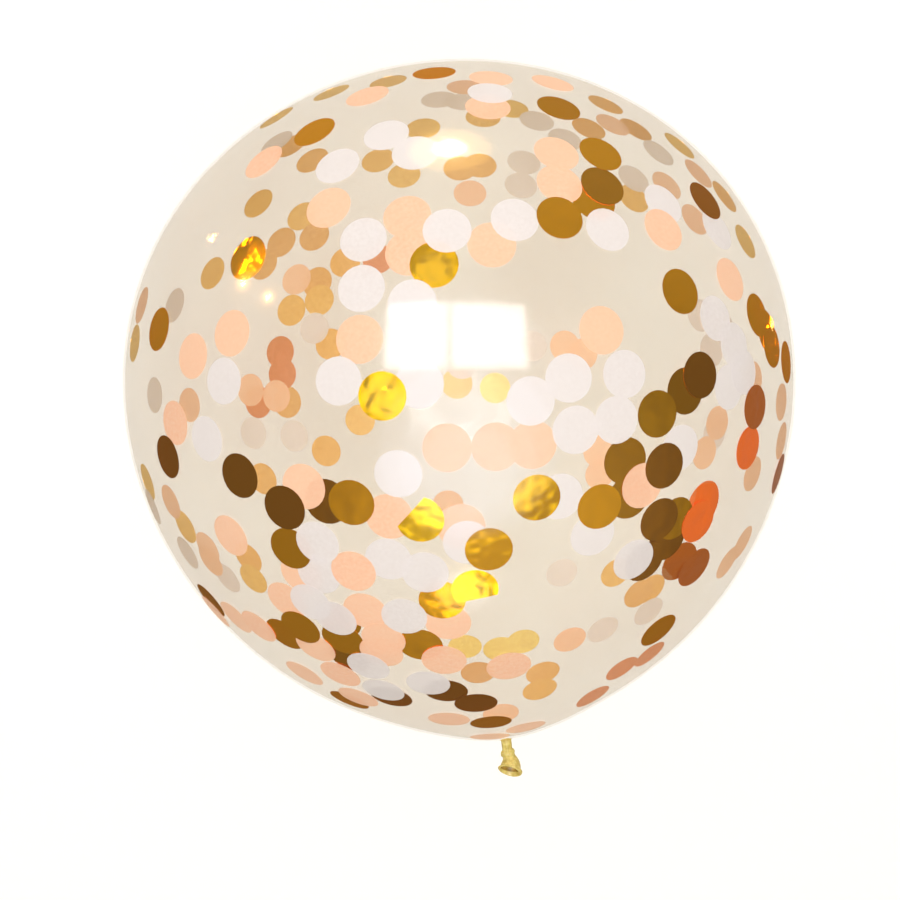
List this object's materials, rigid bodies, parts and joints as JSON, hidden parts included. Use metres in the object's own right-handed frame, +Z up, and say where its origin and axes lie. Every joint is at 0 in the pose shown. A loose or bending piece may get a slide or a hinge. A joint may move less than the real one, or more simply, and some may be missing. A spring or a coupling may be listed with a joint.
{
  "type": "giant confetti balloon",
  "caption": "Large clear latex balloon filled with air and round tissue and foil confetti that clings inside its wall, tied in a knot at the neck, with a flared tail and rolled lip.",
  "frame": {"origin": "on the floor, in the middle of the flat spot on which the balloon lies, straight below its widest circle", "axes": "+Z up; the balloon's own axis lies along Y, with the crown towards +Y and the neck, knot and tail towards -Y"},
  "size_m": [0.667, 0.7226, 0.6638],
  "materials": {
    "clear_latex": "glossy, slightly milky film; denser yellow where it isn't stretched, at neck, knot and tail",
    "white_tissue": "matte tissue paper",
    "peach_tissue": "matte tissue paper",
    "gold_foil": "mirror-bright metallised film",
    "copper_foil": "mirror-bright metallised film"
  },
  "bodies": {
    "root": {"balloon": "clear_latex"}
  },
  "joints": []
}
